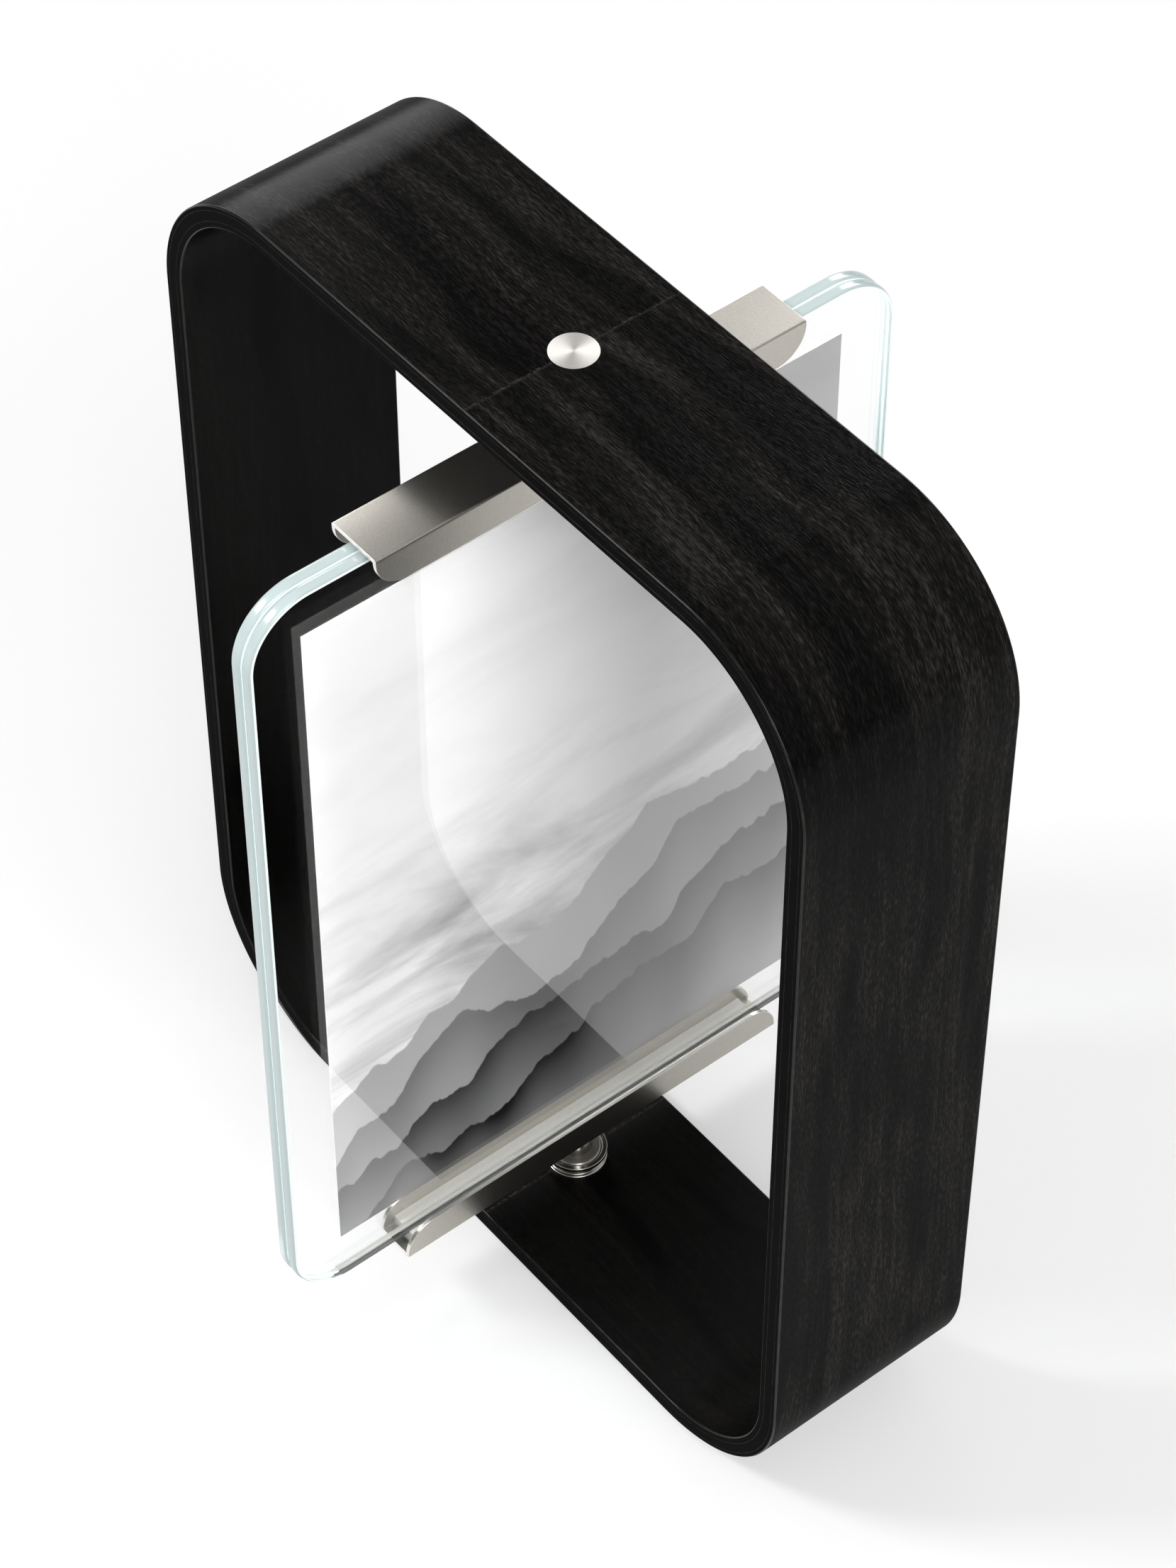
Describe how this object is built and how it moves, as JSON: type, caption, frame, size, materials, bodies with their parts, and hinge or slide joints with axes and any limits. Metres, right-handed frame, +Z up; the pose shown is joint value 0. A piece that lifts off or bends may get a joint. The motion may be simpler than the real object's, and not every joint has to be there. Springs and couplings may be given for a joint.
{
  "type": "swivelling glass photo frame",
  "caption": "Upright rounded loop of bent black-stained plywood that carries a print between two clear panes, held in folded metal channels that turn on an upright pivot.",
  "frame": {"origin": "on the table, under the pivot axis at the middle of the base", "axes": "+Z up along the pivot axis, +X towards the side that the picture faces and across the loop's width, +Y along the loop's depth and the length of the channels, with the panel across the loop"},
  "size_m": [0.188, 0.152, 0.2408],
  "materials": {
    "black_stained_veneer": "satin, open grain",
    "black_edge_ply": "satin edge",
    "satin_nickel": "bead-blasted satin",
    "spun_nickel": "radially spun",
    "low_iron_glass": "polished",
    "photo_paper": "semi-matt print, white back",
    "pale_grey_plastic": "smooth matt",
    "nylon": "matt",
    "black_felt": "dense felt"
  },
  "bodies": {
    "stand": {"left_outer_ply": "black_stained_veneer", "left_core_ply": "black_edge_ply", "left_inner_ply": "black_stained_veneer", "right_outer_ply": "black_stained_veneer", "right_core_ply": "black_edge_ply", "right_inner_ply": "black_stained_veneer", "lower_bush": "satin_nickel", "upper_bush": "satin_nickel", "lower_cap": "spun_nickel", "upper_cap": "spun_nickel", "felt_pads": "black_felt"},
    "panel": {"lower_channel": "satin_nickel", "upper_channel": "satin_nickel", "lower_strip": "pale_grey_plastic", "upper_strip": "pale_grey_plastic", "lower_barrel": "satin_nickel", "upper_barrel": "satin_nickel", "lower_pivot_screw": "satin_nickel", "upper_pivot_screw": "satin_nickel", "lower_washer": "nylon", "upper_washer": "nylon"},
    "front_pane": {"front_glass": "low_iron_glass"},
    "rear_pane": {"rear_glass": "low_iron_glass", "photo_print": "photo_paper"}
  },
  "joints": [
    {"name": "panel_swivel", "type": "hinge", "parent": "stand", "child": "panel", "pos_m": [0, 0, 0.1208], "axis": [0, 0, 1], "range_deg": [-180, 180]},
    {"name": "front_pane_slide", "type": "slide", "parent": "panel", "child": "front_pane", "axis": [0, 1, 0], "range_m": [-0.126, 0.126]},
    {"name": "rear_pane_slide", "type": "slide", "parent": "panel", "child": "rear_pane", "axis": [0, 1, 0], "range_m": [-0.126, 0.126]}
  ]
}
